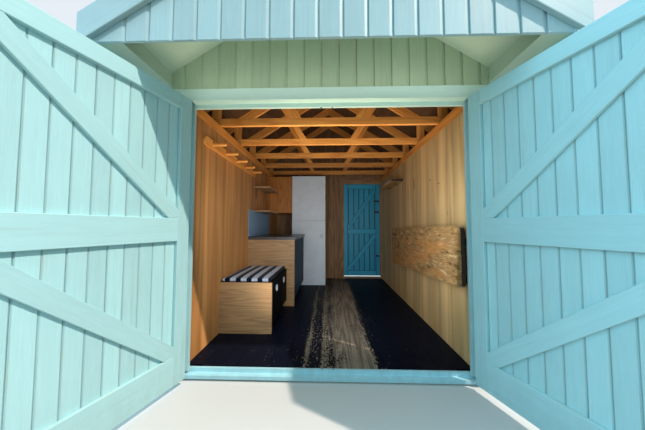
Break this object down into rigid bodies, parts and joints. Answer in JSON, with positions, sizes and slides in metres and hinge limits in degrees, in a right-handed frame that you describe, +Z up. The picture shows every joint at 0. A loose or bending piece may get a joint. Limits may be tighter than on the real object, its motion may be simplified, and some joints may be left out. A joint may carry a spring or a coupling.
{
  "type": "beach hut",
  "caption": "Timber beach hut with a pitched trussed roof over a recessed front, braced double front doors standing open, a rear door and a fitted interior.",
  "frame": {"origin": "middle of the front doorway on the ground, under the inner faces of the front posts, 120 mm behind the plane of the closed front doors", "axes": "+X to the right across the hut seen from the front, +Y inwards from the front to the back, +Z up"},
  "size_m": [2.994, 4.65, 3.4083],
  "materials": {
    "black_floor": "black painted boards worn to bare wood",
    "black_front": "black painted board",
    "door_paint": "aqua painted boards, worn along the joints",
    "frame_paint": "pale aqua painted timber",
    "gable_paint": "pale aqua painted boards",
    "ironwork": "black lacquered iron",
    "oak": "oak veneer",
    "pine": "planed softwood",
    "roofing": "mineral roofing felt",
    "rough_timber": "rough sawn stained timber",
    "soffit_paint": "sage green painted boards",
    "striped_fabric": "navy and white striped cotton",
    "teal_paint": "teal painted boards",
    "wall_boarding": "painted boards outside, pine lining inside",
    "white_paint": "white painted board",
    "worktop": "dark laminate"
  },
  "bodies": {
    "hut": {"back_gable_wall": "wall_boarding", "back_wall": "wall_boarding", "back_wall_over_door": "wall_boarding", "bargeboards": "gable_paint", "bench_box": "black_front", "bench_cushion": "striped_fabric", "bench_end_panel": "oak", "ceiling_ties": "pine", "door_head": "frame_paint", "door_sill": "frame_paint", "fascias": "gable_paint", "floor_boards": "black_floor", "floor_joists": "pine", "floor_rim_beams": "pine", "front_gable_wall": "soffit_paint", "front_posts": "frame_paint", "hinge_plates": "ironwork", "kitchen_unit": "oak", "kitchen_worktop": "worktop", "left_roof_slope": "roofing", "left_wall": "wall_boarding", "lintel_board": "frame_paint", "outer_gable_panel": "gable_paint", "overhang_beams": "soffit_paint", "peg_rail": "pine", "rafters": "pine", "rear_door_frame": "frame_paint", "rear_threshold": "pine", "ridge_cap": "roofing", "right_roof_slope": "roofing", "right_wall": "wall_boarding", "rough_shelf": "rough_timber", "shelf_brackets": "ironwork", "side_board": "rough_timber", "soffits": "soffit_paint", "tall_cupboard": "white_paint", "truss_webs": "pine", "wall_cupboard": "oak", "wall_plates": "pine", "wall_shelves": "oak"},
    "left_door": {"left_door_boards": "door_paint", "left_door_bolts": "ironwork", "left_door_braces": "door_paint", "left_door_hinges": "ironwork", "left_door_rails": "door_paint", "left_door_stiles": "door_paint"},
    "right_door": {"right_door_boards": "door_paint", "right_door_bolts": "ironwork", "right_door_braces": "door_paint", "right_door_hinges": "ironwork", "right_door_rails": "door_paint", "right_door_stiles": "door_paint"},
    "rear_door": {"rear_door_boards": "teal_paint", "rear_door_framing": "teal_paint", "rear_door_hinges": "ironwork", "rear_door_latch": "ironwork"}
  },
  "joints": [
    {"name": "left_door_hinge", "type": "hinge", "parent": "hut", "child": "left_door", "pos_m": [-1.118, -0.128, 1.121], "axis": [0, 0, -1], "range_deg": [-106.7, 68]},
    {"name": "right_door_hinge", "type": "hinge", "parent": "hut", "child": "right_door", "pos_m": [1.118, -0.128, 1.121], "axis": [0, 0, 1], "range_deg": [-108.3, 66]},
    {"name": "rear_door_hinge", "type": "hinge", "parent": "hut", "child": "rear_door", "pos_m": [0.318, 3.336, 1.128], "axis": [0, 0, 1], "range_deg": [0, 110]}
  ]
}
